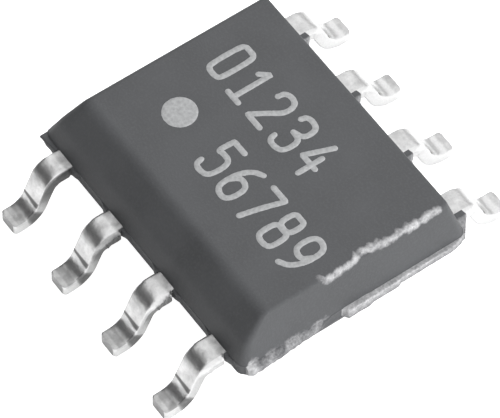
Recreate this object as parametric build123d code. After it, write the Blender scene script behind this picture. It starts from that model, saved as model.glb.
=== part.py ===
"""An eight-lead small-outline chip package with gull-wing leads, in millimetres.

The origin is on the seating plane, under the middle of the package. +X runs along a row of
leads, -Y is the side with the bevel and leads 1 to 4, and +Z is up.
"""

import math
import os

from build123d import *

# Leads outside the moulding
LEADS_PER_SIDE = 4
LEAD_PITCH = 1.27
LEAD_SPAN = 6.00
LEAD_WIDTH = 0.38
LEAD_THICKNESS = 0.20
LEAD_RISE = 0.70
BEND_INSIDE_RADIUS = 0.12
HEEL_INSIDE_RADIUS = 0.25
RISER_ANGLE = 72.0
FOOT_FLAT = 0.21
TOE_CORNER_RADIUS = 0.05

# Stubs left on the leads where the tie across them was sheared
STUB_GAP = 0.07
STUB_LENGTH = 0.20
STUB_PROUD = 0.03

# Moulded body, which reaches past the middle of the end leads by the margin
BODY_END_MARGIN = 0.555
BODY_WIDTH = 3.92
BODY_STANDOFF = 0.12
UPPER_HEIGHT = 0.75
SIDE_DRAFT = 17.0
GATE_END_DRAFT = 14.0
FAR_END_DRAFT = 23.0
LOWER_DRAFT = 24.0
CORNER_RADIUS = 0.14
TOP_EDGE_RADIUS = 0.05
BOTTOM_EDGE_RADIUS = 0.05

# Bevel along the side of lead 1
BEVEL_SIDE_DRAFT = 18.0
BEVEL_WIDTH = 0.26
BEVEL_ANGLE = 45.0
BEVEL_RADIUS = 0.30

# Flash, broken gate and webs at the parting band
GATE_FLASH_WIDTH = 0.09
FAR_FLASH_WIDTH = 0.05
FLASH_HEIGHT = 0.15
FLASH_END_MARGIN = 0.08
FLASH_CORNER_RADIUS = 0.08
GATE_LENGTH = 1.45
GATE_PROUD = 0.10
WEB_PROUD = 0.21
WEB_FLAT = 0.12
WEB_TAPER = 0.58
TRIMMED_WEB_PROUD = 0.05
TRIMMED_WEB_TAPER = 0.15

# Ejector mark in the underside
EJECTOR_DIAMETER = 1.00
EJECTOR_DEPTH = 0.03

# Paddle, set in from the end leads and the side walls, and its tie bars
PADDLE_ROW_INSET = 0.555
PADDLE_SIDE_INSET = 1.01
PADDLE_DOWNSET = 0.20
TIE_BAR_WIDTH = 0.30
TIE_BAR_RAMP = 0.30
TIE_BAR_RAMP_GAP = 0.08
TIE_BAR_PROUD = 0.07

# Inner fingers of the leads
FINGER_GAP = 0.20
FINGER_WIDTH = 0.60
FINGER_COVER = 0.34
TIE_BAR_GAP = 0.25
ANCHOR_HOLE_DIAMETER = 0.20
ANCHOR_HOLE_COVER = 0.52

# Die and the adhesive under it
DIE_LENGTH = 1.50
DIE_WIDTH = 1.10
DIE_HEIGHT = 0.25
ADHESIVE_THICKNESS = 0.03
ADHESIVE_MARGIN = 0.06

# Bond wires
WIRE_DIAMETER = 0.04
WIRE_SIDES = 6
BALL_DIAMETER = 0.09
BALL_HEIGHT = 0.03
BALL_SIDES = 12
BOND_INSET = 0.12
BOND_SPACING = 0.60
LOOP_HEIGHT = 0.17
LOOP_CREST_SHARE = 0.30
LOOP_RADIUS = 0.07
STITCH_LENGTH = 0.12
STITCH_INSET = 0.10

# Length of the body and plan size of the paddle
BODY_LENGTH = (LEADS_PER_SIDE - 1) * LEAD_PITCH + 2 * BODY_END_MARGIN
PADDLE_LENGTH = (LEADS_PER_SIDE - 1) * LEAD_PITCH - 2 * PADDLE_ROW_INSET
PADDLE_WIDTH = BODY_WIDTH - 2 * PADDLE_SIDE_INSET

# Levels
LEAD_BOTTOM = LEAD_RISE
LEAD_TOP = LEAD_BOTTOM + LEAD_THICKNESS
BODY_TOP = LEAD_TOP + UPPER_HEIGHT
PADDLE_TOP = LEAD_TOP - PADDLE_DOWNSET
PADDLE_BOTTOM = PADDLE_TOP - LEAD_THICKNESS
ADHESIVE_TOP = PADDLE_TOP + ADHESIVE_THICKNESS
DIE_TOP = ADHESIVE_TOP + DIE_HEIGHT

# Plan positions, with "out" measured from the centre plane between the rows
TOE_OUT = LEAD_SPAN / 2
BODY_OUT = BODY_WIDTH / 2
BODY_END = BODY_LENGTH / 2
BEND_RADIUS = BEND_INSIDE_RADIUS + LEAD_THICKNESS / 2
HEEL_RADIUS = HEEL_INSIDE_RADIUS + LEAD_THICKNESS / 2
BENDS_RUN = (BEND_RADIUS + HEEL_RADIUS) * math.sin(math.radians(RISER_ANGLE))
BENDS_DROP = (BEND_RADIUS + HEEL_RADIUS) * (1 - math.cos(math.radians(RISER_ANGLE)))
RISER_DROP = LEAD_RISE - BENDS_DROP
RISER_RUN = RISER_DROP / math.tan(math.radians(RISER_ANGLE))
HEEL_OUT = TOE_OUT - FOOT_FLAT
SHOULDER_OUT = HEEL_OUT - BENDS_RUN - RISER_RUN
FINGER_NECK_OUT = BODY_OUT - FINGER_COVER
ANCHOR_HOLE_OUT = BODY_OUT - ANCHOR_HOLE_COVER
INNER_TIP_OUT = PADDLE_WIDTH / 2 + FINGER_GAP
OUTER_TIP_OUT = TIE_BAR_WIDTH / 2 + TIE_BAR_GAP
OUTER_FINGER_START = PADDLE_LENGTH / 2 + FINGER_GAP
GATE_START_OUT = BODY_OUT - FLASH_END_MARGIN


def lead_x(index):
    """Place of a lead along its row, counted from the -X end."""
    return (index - (LEADS_PER_SIDE - 1) / 2) * LEAD_PITCH


def is_end_lead(index):
    """True for the first and last lead of a row, which pass the ends of the paddle."""
    return index in (0, LEADS_PER_SIDE - 1)


def box_between(low, high):
    """A box given by two opposite corners."""
    size = [b - a for a, b in zip(low, high)]
    middle = [(a + b) / 2 for a, b in zip(low, high)]
    return Pos(*middle) * Box(*size)


# Leads


def lead_side_form():
    """The bent strip seen from the end, drawn for the +Y side and wider than any lead."""
    start = (0, LEAD_TOP - LEAD_THICKNESS / 2)
    shoulder = Line(start, (SHOULDER_OUT, start[1]))
    upper_bend = JernArc(shoulder @ 1, shoulder % 1, BEND_RADIUS, -RISER_ANGLE)
    riser_length = RISER_DROP / math.sin(math.radians(RISER_ANGLE))
    riser = Line(upper_bend @ 1, upper_bend @ 1 + (upper_bend % 1) * riser_length)
    lower_bend = JernArc(riser @ 1, riser % 1, HEEL_RADIUS, RISER_ANGLE)
    foot = Line(lower_bend @ 1, (TOE_OUT, LEAD_THICKNESS / 2))
    middle_line = shoulder + upper_bend + riser + lower_bend + foot
    return trace(middle_line, LEAD_THICKNESS)


def bent_strip(half_width):
    """The gull-wing strip on the +Y side, from the centre plane to the toe."""
    form = Plane.YZ * lead_side_form()
    strip = extrude(form, amount=half_width, both=True)
    reach = box_between((-half_width, 0, 0), (half_width, TOE_OUT, LEAD_TOP))
    return strip & reach


def toe_trimmed_plan(width):
    """Plan outline of the lead from the finger neck to the toe, with its stub and toe corners."""
    stub_in = BODY_OUT + STUB_GAP
    stub_out = stub_in + STUB_LENGTH
    blade = Pos(0, (FINGER_NECK_OUT + TOE_OUT) / 2) * Rectangle(width, TOE_OUT - FINGER_NECK_OUT)
    toe = blade.vertices().group_by(Axis.Y)[-1]
    blade = fillet(toe, TOE_CORNER_RADIUS)
    stub = Pos(0, (stub_in + stub_out) / 2) * Rectangle(width + 2 * STUB_PROUD, STUB_LENGTH)
    return blade + stub


def finger_plan(index):
    """Plan outline of the part of a lead that the moulding grips, relative to the lead."""
    half = LEAD_WIDTH / 2
    if is_end_lead(index):
        inward = -1 if lead_x(index) > 0 else 1
        start = OUTER_FINGER_START - abs(lead_x(index))
        low, high = sorted((-inward * start, -inward * half))
        tip = OUTER_TIP_OUT
    else:
        low, high = -FINGER_WIDTH / 2, FINGER_WIDTH / 2
        tip = INNER_TIP_OUT
    grip = Pos((low + high) / 2, (tip + FINGER_NECK_OUT) / 2)
    finger = grip * Rectangle(high - low, FINGER_NECK_OUT - tip)
    hole = Pos(0, ANCHOR_HOLE_OUT) * Circle(ANCHOR_HOLE_DIAMETER / 2)
    return finger - hole


def make_lead(index, side):
    """One lead in place: its finger, shoulder, two bends, riser and foot."""
    plan = toe_trimmed_plan(LEAD_WIDTH) + finger_plan(index)
    post = extrude(plan, amount=LEAD_TOP)
    lead = post & bent_strip(LEAD_PITCH)
    if side < 0:
        lead = mirror(lead, about=Plane.XZ)
    return Pos(lead_x(index), 0, 0) * lead


# Paddle, die and adhesive


def make_paddle():
    """The downset paddle with a tie bar that ramps up to the lead plane at each end."""
    paddle = box_between(
        (-PADDLE_LENGTH / 2, -PADDLE_WIDTH / 2, PADDLE_BOTTOM),
        (PADDLE_LENGTH / 2, PADDLE_WIDTH / 2, PADDLE_TOP),
    )
    inner = PADDLE_LENGTH / 2 - LEAD_THICKNESS
    ramp_in = PADDLE_LENGTH / 2 + TIE_BAR_RAMP_GAP
    ramp_out = ramp_in + TIE_BAR_RAMP
    end = BODY_END + TIE_BAR_PROUD
    outline = [
        (inner, PADDLE_BOTTOM),
        (ramp_in, PADDLE_BOTTOM),
        (ramp_out, LEAD_BOTTOM),
        (end, LEAD_BOTTOM),
        (end, LEAD_TOP),
        (ramp_out, LEAD_TOP),
        (ramp_in, PADDLE_TOP),
        (inner, PADDLE_TOP),
    ]
    side_view = Plane.XZ * make_face(Polyline(*outline, close=True))
    tie_bar = extrude(side_view, amount=TIE_BAR_WIDTH / 2, both=True)
    return paddle + tie_bar + mirror(tie_bar, about=Plane.YZ)


def make_die():
    """The silicon die on its adhesive."""
    half_length = DIE_LENGTH / 2
    half_width = DIE_WIDTH / 2
    return box_between((-half_length, -half_width, ADHESIVE_TOP), (half_length, half_width, DIE_TOP))


def make_adhesive():
    """The adhesive, squeezed out a little past the die all round."""
    half_length = DIE_LENGTH / 2 + ADHESIVE_MARGIN
    half_width = DIE_WIDTH / 2 + ADHESIVE_MARGIN
    return box_between((-half_length, -half_width, PADDLE_TOP), (half_length, half_width, ADHESIVE_TOP))


# Bond wires


def wire_ends(index, side):
    """Where a wire leaves the die and where it is stitched to its finger, in plan."""
    toward = 1 if lead_x(index) > 0 else -1
    if is_end_lead(index):
        start = (toward * (DIE_LENGTH / 2 - BOND_INSET), side * (DIE_WIDTH / 2 - BOND_INSET) / 2)
        finger_x = OUTER_FINGER_START + STITCH_INSET
        finish = (toward * finger_x, side * (OUTER_TIP_OUT + 2 * STITCH_INSET))
    else:
        start = (toward * BOND_SPACING / 2, side * (DIE_WIDTH / 2 - BOND_INSET))
        finish = (lead_x(index), side * (INNER_TIP_OUT + 2 * STITCH_INSET))
    return start, finish


def make_wire(index, side):
    """A looped bond wire with a ball on the die and a flat stitch on the finger."""
    start, finish = wire_ends(index, side)
    run = math.dist(start, finish)
    direction = ((finish[0] - start[0]) / run, (finish[1] - start[1]) / run, 0)
    loop_plane = Plane(origin=(*start, 0), x_dir=direction, z_dir=(direction[1], -direction[0], 0))
    crest = DIE_TOP + LOOP_HEIGHT
    lying = LEAD_TOP + WIRE_DIAMETER / 2
    points = [
        (0, DIE_TOP),
        (0, crest),
        (run * LOOP_CREST_SHARE, crest),
        (run - STITCH_LENGTH, lying),
        (run, lying),
    ]
    path = loop_plane * FilletPolyline(*points, radius=LOOP_RADIUS)
    section_plane = Plane(origin=(*start, DIE_TOP), x_dir=direction, z_dir=(0, 0, 1))
    outline = RegularPolygon(WIRE_DIAMETER / 2, WIRE_SIDES, major_radius=False, rotation=180 / WIRE_SIDES)
    wire = sweep(section_plane * outline, path=path)
    disc = RegularPolygon(BALL_DIAMETER / 2, BALL_SIDES)
    ball = Pos(*start, DIE_TOP) * extrude(disc, amount=BALL_HEIGHT)
    return wire + ball


# Moulded body


def inset(height, draft):
    """How far a drafted wall leans in over a height."""
    return height * math.tan(math.radians(draft))


def drafted_half(height, gate_end_draft, far_end_draft, low_y_draft, high_y_draft):
    """Half of the moulding as a loft from the parting outline to a smaller one above it."""
    gate_end = BODY_END - inset(height, gate_end_draft)
    far_end = BODY_END - inset(height, far_end_draft)
    low_y = BODY_OUT - inset(height, low_y_draft)
    high_y = BODY_OUT - inset(height, high_y_draft)
    base = RectangleRounded(BODY_LENGTH, BODY_WIDTH, CORNER_RADIUS)
    far = RectangleRounded(gate_end + far_end, low_y + high_y, CORNER_RADIUS / 2)
    return loft([base, Pos((gate_end - far_end) / 2, (high_y - low_y) / 2, height) * far], ruled=True)


def make_upper_half():
    """The drafted half above the leads, with a rounded bevel along its -Y edge."""
    half = drafted_half(UPPER_HEIGHT, GATE_END_DRAFT, FAR_END_DRAFT, BEVEL_SIDE_DRAFT, SIDE_DRAFT)
    top_edges = half.edges().group_by(Axis.Z)[-1]
    half = Pos(0, 0, LEAD_TOP) * fillet(top_edges, TOP_EDGE_RADIUS)
    crest = (inset(UPPER_HEIGHT, BEVEL_SIDE_DRAFT) - BODY_OUT + BEVEL_WIDTH, BODY_TOP)
    reach = BODY_WIDTH
    outer = (crest[0] - reach, BODY_TOP - reach * math.tan(math.radians(BEVEL_ANGLE)))
    bevel_line = FilletPolyline(outer, crest, (reach, BODY_TOP), radius=BEVEL_RADIUS)
    under = Polyline((reach, BODY_TOP), (reach, outer[1]), outer)
    envelope = extrude(Plane.YZ * make_face(bevel_line + under), amount=BODY_LENGTH, both=True)
    return half & envelope


def make_lower_half():
    """The drafted half below the leads, with the round ejector mark in its flat underside."""
    height = LEAD_BOTTOM - BODY_STANDOFF
    half = drafted_half(height, LOWER_DRAFT, LOWER_DRAFT, LOWER_DRAFT, LOWER_DRAFT)
    half = fillet(half.edges().group_by(Axis.Z)[-1], BOTTOM_EDGE_RADIUS)
    mark = Pos(0, 0, height - EJECTOR_DEPTH) * extrude(Circle(EJECTOR_DIAMETER / 2), amount=EJECTOR_DEPTH)
    return Pos(0, 0, LEAD_BOTTOM) * mirror(half - mark, about=Plane.XY)


def flash_plan(reach, low_y):
    """Plan outline of the flash at one end, from the middle of the body out to its free edge."""
    high_y = GATE_START_OUT
    place = Pos(reach / 2, (low_y + high_y) / 2)
    return place * RectangleRounded(abs(reach), high_y - low_y, FLASH_CORNER_RADIUS)


def web_plan(index):
    """Plan outline of the thin web of resin on the +X side of a lead of the +Y row."""
    edge = lead_x(index) + LEAD_WIDTH / 2
    flat = edge + WEB_FLAT
    finish = min(flat + WEB_TAPER, BODY_END - CORNER_RADIUS)
    top = BODY_OUT + WEB_PROUD
    corners = [(edge, 0), (edge, top), (flat, top), (finish, BODY_OUT), (finish, 0)]
    return make_face(Polyline(*corners, close=True))


def trimmed_web_plan(index):
    """Plan outline of the short webs of resin on both sides of a lead of the -Y row."""
    half = LEAD_WIDTH / 2
    foot = half + TRIMMED_WEB_TAPER
    top = BODY_OUT + TRIMMED_WEB_PROUD
    corners = [(-foot, 0), (-foot, BODY_OUT), (-half, top), (half, top), (foot, BODY_OUT), (foot, 0)]
    return Pos(lead_x(index), 0) * mirror(make_face(Polyline(*corners, close=True)), about=Plane.XZ)


def make_parting_band():
    """The lead-thick band between the halves, with flash at both ends and webs beside the leads."""
    outline = RectangleRounded(BODY_LENGTH, BODY_WIDTH, CORNER_RADIUS)
    for index in range(LEADS_PER_SIDE):
        outline += web_plan(index)
        outline += trimmed_web_plan(index)
    band = extrude(outline, amount=LEAD_THICKNESS)
    flash = flash_plan(-BODY_END - FAR_FLASH_WIDTH, -GATE_START_OUT)
    flash += flash_plan(BODY_END + GATE_FLASH_WIDTH, 0)
    flash -= Rectangle(2 * BODY_LENGTH, TIE_BAR_WIDTH)
    flash = Pos(0, 0, LEAD_THICKNESS - FLASH_HEIGHT) * extrude(flash, amount=FLASH_HEIGHT)
    return Pos(0, 0, LEAD_BOTTOM) * (band + flash)


def make_gate_remnant():
    """The wedge left where the runner was broken off, at the +X end beside lead 4."""
    inner = BODY_END - CORNER_RADIUS
    low_y = -GATE_START_OUT
    high_y = low_y + GATE_LENGTH
    corners = [(inner, low_y), (BODY_END + GATE_PROUD, low_y), (BODY_END, high_y), (inner, high_y)]
    wedge = extrude(make_face(Polyline(*corners, close=True)), amount=LEAD_THICKNESS)
    return Pos(0, 0, LEAD_BOTTOM) * wedge


def make_body(inner_pieces):
    """The moulding, cast round every piece that it holds."""
    body = make_lower_half() + make_parting_band() + make_upper_half() + make_gate_remnant()
    return body - inner_pieces


def main():
    os.makedirs("parts", exist_ok=True)
    pieces = {"die_pad": make_paddle(), "die_attach": make_adhesive(), "die": make_die()}
    for side, first_pin in ((-1, 1), (1, 2 * LEADS_PER_SIDE)):
        for index in range(LEADS_PER_SIDE):
            pin = first_pin - side * index
            pieces[f"lead_{pin}"] = make_lead(index, side)
            pieces[f"bond_wire_{pin}"] = make_wire(index, side)
    pieces["body"] = make_body(list(pieces.values()))
    for name, shape in pieces.items():
        shape.label = name
        export_step(shape, f"parts/{name}.step")


main()
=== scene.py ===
"""Dresses a small-outline chip package: moulding, leads, top marking, inner pieces and studio.

All sizes are in metres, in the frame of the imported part: +X runs along the rows of leads,
-Y is the side with the bevel and leads 1 to 4, and +Z is up from the board.
"""

import math

import bmesh
import bpy
from bpy.props import FloatProperty, FloatVectorProperty, IntProperty, PointerProperty
from mathutils import Matrix, Vector, noise


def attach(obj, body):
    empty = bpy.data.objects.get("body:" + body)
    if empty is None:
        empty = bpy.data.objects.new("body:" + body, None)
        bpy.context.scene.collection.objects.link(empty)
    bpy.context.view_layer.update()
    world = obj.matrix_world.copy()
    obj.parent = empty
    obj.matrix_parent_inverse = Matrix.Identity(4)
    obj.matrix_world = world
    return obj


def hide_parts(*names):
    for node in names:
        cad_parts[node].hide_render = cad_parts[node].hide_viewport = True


bl_info = {
    "name": "Small-outline chip package",
    "version": (1, 0, 0),
    "blender": (4, 5, 0),
    "location": "3D View > Sidebar > Chip",
    "description": "Builds the finished surfaces of an eight-lead chip package and its studio",
    "category": "Add Mesh",
}

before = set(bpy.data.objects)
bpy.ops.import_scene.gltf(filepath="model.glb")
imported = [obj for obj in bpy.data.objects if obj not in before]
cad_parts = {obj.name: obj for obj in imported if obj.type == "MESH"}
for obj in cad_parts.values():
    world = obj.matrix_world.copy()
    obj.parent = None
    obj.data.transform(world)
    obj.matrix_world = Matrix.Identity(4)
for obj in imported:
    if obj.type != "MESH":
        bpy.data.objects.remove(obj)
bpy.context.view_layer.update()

MM = 0.001
LEADS_PER_SIDE = 4
INNER_NODES = ["die_pad", "die_attach", "die"] + [f"bond_wire_{pin}" for pin in range(1, 9)]


# Settings


class MouldingSettings(bpy.types.PropertyGroup):
    """Sizes and colours of the moulded resin body."""

    length: FloatProperty(
        name="Length", description="Size along the rows of leads at the parting line",
        default=4.92 * MM, unit="LENGTH", precision=5)
    width: FloatProperty(
        name="Width", description="Size across the rows of leads at the parting line",
        default=3.92 * MM, unit="LENGTH", precision=5)
    underside: FloatProperty(
        name="Underside", description="Height of the underside above the board",
        default=0.12 * MM, unit="LENGTH", precision=5)
    upper_height: FloatProperty(
        name="Upper height", description="Height of the moulding above the leads",
        default=0.75 * MM, unit="LENGTH", precision=5)
    side_draft: FloatProperty(
        name="Side draft", description="Lean of the long wall above leads 5 to 8",
        default=math.radians(17), unit="ROTATION")
    gate_end_draft: FloatProperty(
        name="Gate end draft", description="Lean of the upper wall at the gate end",
        default=math.radians(14), unit="ROTATION")
    far_end_draft: FloatProperty(
        name="Far end draft", description="Lean of the upper wall at the far end",
        default=math.radians(23), unit="ROTATION")
    lower_draft: FloatProperty(
        name="Lower draft", description="Lean of the walls below the leads",
        default=math.radians(24), unit="ROTATION")
    bevel_side_draft: FloatProperty(
        name="Bevel side draft", description="Lean of the long wall under the bevel",
        default=math.radians(18), unit="ROTATION")
    bevel_width: FloatProperty(
        name="Bevel width", description="Width of the bevel seen from above",
        default=0.26 * MM, unit="LENGTH", precision=5)
    bevel_radius: FloatProperty(
        name="Bevel radius", description="Round between the bevel and the top",
        default=0.30 * MM, unit="LENGTH", precision=5)
    edge_radius: FloatProperty(
        name="Edge radius", description="Round along the other edges of the top and underside",
        default=0.05 * MM, unit="LENGTH", precision=5)
    far_edge_radius: FloatProperty(
        name="Far edge radius", description="Round along the top edge of the far end",
        default=0.09 * MM, unit="LENGTH", precision=5)
    corner_radius: FloatProperty(
        name="Corner radius", description="Round of the upright corners at the parting line",
        default=0.14 * MM, unit="LENGTH", precision=5)
    gate_flash: FloatProperty(
        name="Gate end flash", description="How far the flash stands out at the gate end",
        default=0.09 * MM, unit="LENGTH", precision=5)
    far_flash: FloatProperty(
        name="Far end flash", description="How far the flash stands out at the far end",
        default=0.05 * MM, unit="LENGTH", precision=5)
    flash_height: FloatProperty(
        name="Flash height", description="Height of the flash",
        default=0.17 * MM, unit="LENGTH", precision=5)
    gate_length: FloatProperty(
        name="Gate length", description="Length of the broken gate beside lead 4",
        default=1.45 * MM, unit="LENGTH", precision=5)
    gate_proud: FloatProperty(
        name="Gate stump", description="How far the gate stump stands out at its thick end",
        default=0.095 * MM, unit="LENGTH", precision=5)
    broken_width: FloatProperty(
        name="Broken edge", description="Half the width of the broken line along the top edge of the gate end",
        default=0.116 * MM, unit="LENGTH", precision=6)
    resin: FloatVectorProperty(
        name="Resin", description="Colour of the moulded resin",
        default=(0.070, 0.072, 0.076), subtype="COLOR", size=3, min=0, max=1)
    # Also the colour of the painted highlight at the gate corner and, in part, of the paler flash tops.
    broken_and_highlit_resin: FloatVectorProperty(
        name="Broken resin", description="Colour of the resin where it was broken or rubbed",
        default=(0.52, 0.52, 0.53), subtype="COLOR", size=3, min=0, max=1)


class LeadSettings(bpy.types.PropertyGroup):
    """Sizes and colours of the gull-wing leads."""

    pitch: FloatProperty(
        name="Pitch", description="Distance from one lead to the next",
        default=1.27 * MM, unit="LENGTH", precision=5)
    span: FloatProperty(
        name="Span", description="Distance over the toes of both rows",
        default=6.00 * MM, unit="LENGTH", precision=5)
    width: FloatProperty(
        name="Width", description="Width of a lead",
        default=0.38 * MM, unit="LENGTH", precision=5)
    thickness: FloatProperty(
        name="Thickness", description="Thickness of the leadframe",
        default=0.20 * MM, unit="LENGTH", precision=5)
    rise: FloatProperty(
        name="Rise", description="Height of the underside of the shoulder above the board",
        default=0.70 * MM, unit="LENGTH", precision=5)
    bend_radius: FloatProperty(
        name="Bend radius", description="Inside radius of the bends",
        default=0.12 * MM, unit="LENGTH", precision=5)
    riser_angle: FloatProperty(
        name="Riser angle", description="Slope of the riser below the level",
        default=math.radians(66), unit="ROTATION")
    heel_radius: FloatProperty(
        name="Heel radius", description="Inside radius of the bend above the foot",
        default=0.28 * MM, unit="LENGTH", precision=5)
    foot_flat: FloatProperty(
        name="Foot flat", description="Length of the flat foot",
        default=0.13 * MM, unit="LENGTH", precision=5)
    die_mark: FloatProperty(
        name="Die mark", description="Height of the dark line that the bending tool rubs across the riser",
        default=0.120 * MM, unit="LENGTH", precision=6)
    edge_radius: FloatProperty(
        name="Edge radius", description="Round of the punched edges",
        default=0.040 * MM, unit="LENGTH", precision=6)
    tin: FloatVectorProperty(
        name="Tin", description="Colour of the bright tin plating",
        default=(0.90, 0.90, 0.90), subtype="COLOR", size=3, min=0, max=1)
    # Also the colour of the painted shade over the near row and on the side faces of the leads.
    dull_and_shaded_tin: FloatVectorProperty(
        name="Dull tin", description="Colour of the tin where it is worn and dull",
        default=(0.42, 0.42, 0.42), subtype="COLOR", size=3, min=0, max=1)
    # Also the colour of the painted reflection in the heel band and of the painted shade on the +X side faces of leads
    # 1 and 2.
    rubbed_and_shaded_tin: FloatVectorProperty(
        name="Rubbed tin", description="Colour of the tin where the tools rubbed it down",
        default=(0.22, 0.22, 0.22), subtype="COLOR", size=3, min=0, max=1)


class MarkingSettings(bpy.types.PropertyGroup):
    """Sizes and colour of the plain marking on the top."""

    digit_width: FloatProperty(
        name="Digit width", description="Width of a digit between the middles of its strokes",
        default=0.285 * MM, unit="LENGTH", precision=5)
    digit_height: FloatProperty(
        name="Digit height", description="Height of a digit between the middles of its strokes",
        default=0.665 * MM, unit="LENGTH", precision=5)
    stroke: FloatProperty(
        name="Stroke", description="Width of a stroke",
        default=0.098 * MM, unit="LENGTH", precision=5)
    relief: FloatProperty(
        name="Relief", description="How far the marking stands up from the top",
        default=0.004 * MM, unit="LENGTH", precision=6)
    dot_radius: FloatProperty(
        name="Dot radius", description="Radius of the round dot beside the digits",
        default=0.27 * MM, unit="LENGTH", precision=5)
    colour: FloatVectorProperty(
        name="Colour", description="Colour of the marked resin",
        default=(0.36, 0.365, 0.37), subtype="COLOR", size=3, min=0, max=1)


class StageSettings(bpy.types.PropertyGroup):
    """Camera and lamps of the studio."""

    azimuth: FloatProperty(
        name="Azimuth", description="Direction of the camera round the chip",
        default=math.radians(54.28), unit="ROTATION")
    elevation: FloatProperty(
        name="Elevation", description="Height of the camera above the horizon",
        default=math.radians(56.77), unit="ROTATION")
    roll: FloatProperty(
        name="Roll", description="Turn of the camera about its own axis",
        default=math.radians(0.34), unit="ROTATION")
    distance: FloatProperty(
        name="Distance", description="Distance from the camera to its aim",
        default=62.29 * MM, unit="LENGTH")
    aim: FloatVectorProperty(
        name="Aim", description="Point in the middle of the picture",
        default=(0.1927 * MM, -0.2053 * MM, 0.6168 * MM), subtype="XYZ", size=3, unit="LENGTH")
    lens: FloatProperty(
        name="Lens", description="Focal length in millimetres",
        default=312.97, min=1)
    floor_radius: FloatProperty(
        name="Floor radius", description="Radius of the pale floor",
        default=400 * MM, unit="LENGTH")
    ambient: FloatProperty(
        name="Ambient", description="Level of the light from all round",
        default=0.40, min=0)


# Mesh building


class Surface:
    """Points and faces of a piece, with how freshly broken or worn each point is, a value that also carries painted
    shade and painted highlights.
    """

    def __init__(self):
        self.points = []
        self.faces = []
        self.wear_and_shading = []

    def ring(self, points, wear_and_shading=0.0):
        """Adds a row of points and returns their numbers."""
        start = len(self.points)
        self.points.extend(points)
        self.wear_and_shading.extend([wear_and_shading] * len(points))
        return list(range(start, len(self.points)))

    def bridge(self, first, second):
        """Joins two closed rings of as many points with a band of quads."""
        count = len(first)
        for i in range(count):
            j = (i + 1) % count
            self.faces.append((first[i], first[j], second[j], second[i]))

    def cap(self, ring):
        """Closes a ring with one face."""
        self.faces.append(tuple(ring))

    def tube(self, rings, wear_and_shading=0.0):
        """Skins closed rings one after another and closes both ends."""
        numbered = [self.ring(points, wear_and_shading) for points in rings]
        for first, second in zip(numbered, numbered[1:]):
            self.bridge(first, second)
        self.cap(numbered[0])
        self.cap(numbered[-1])
        return numbered


def mesh_object(name, surface, sharp_angle=math.radians(38)):
    """Makes an object from a surface, with its normals outwards and the wear, together with the painted shading it
    carries, kept as an attribute.
    """
    mesh = bpy.data.meshes.new(name)
    mesh.from_pydata(surface.points, [], surface.faces)
    sheet = bmesh.new()
    sheet.from_mesh(mesh)
    bmesh.ops.recalc_face_normals(sheet, faces=sheet.faces)
    sheet.to_mesh(mesh)
    sheet.free()
    attribute = mesh.attributes.new("wear_and_shading", "FLOAT", "POINT")
    attribute.data.foreach_set("value", surface.wear_and_shading)
    mesh.polygons.foreach_set("use_smooth", [True] * len(mesh.polygons))
    mesh.set_sharp_from_angle(angle=sharp_angle)
    made = bpy.data.objects.new(name, mesh)
    bpy.context.scene.collection.objects.link(made)
    return made


def ripple(point, size, offset=0.0):
    """Smooth noise from -1 to 1 that changes over a distance of about size."""
    return noise.noise(Vector(point) / size + Vector((offset, offset, offset)))


def smooth_step(low, high, value):
    """0 below low, 1 above high and a smooth rise between."""
    share = min(max((value - low) / (high - low), 0.0), 1.0)
    return share * share * (3 - 2 * share)


# Materials


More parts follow.
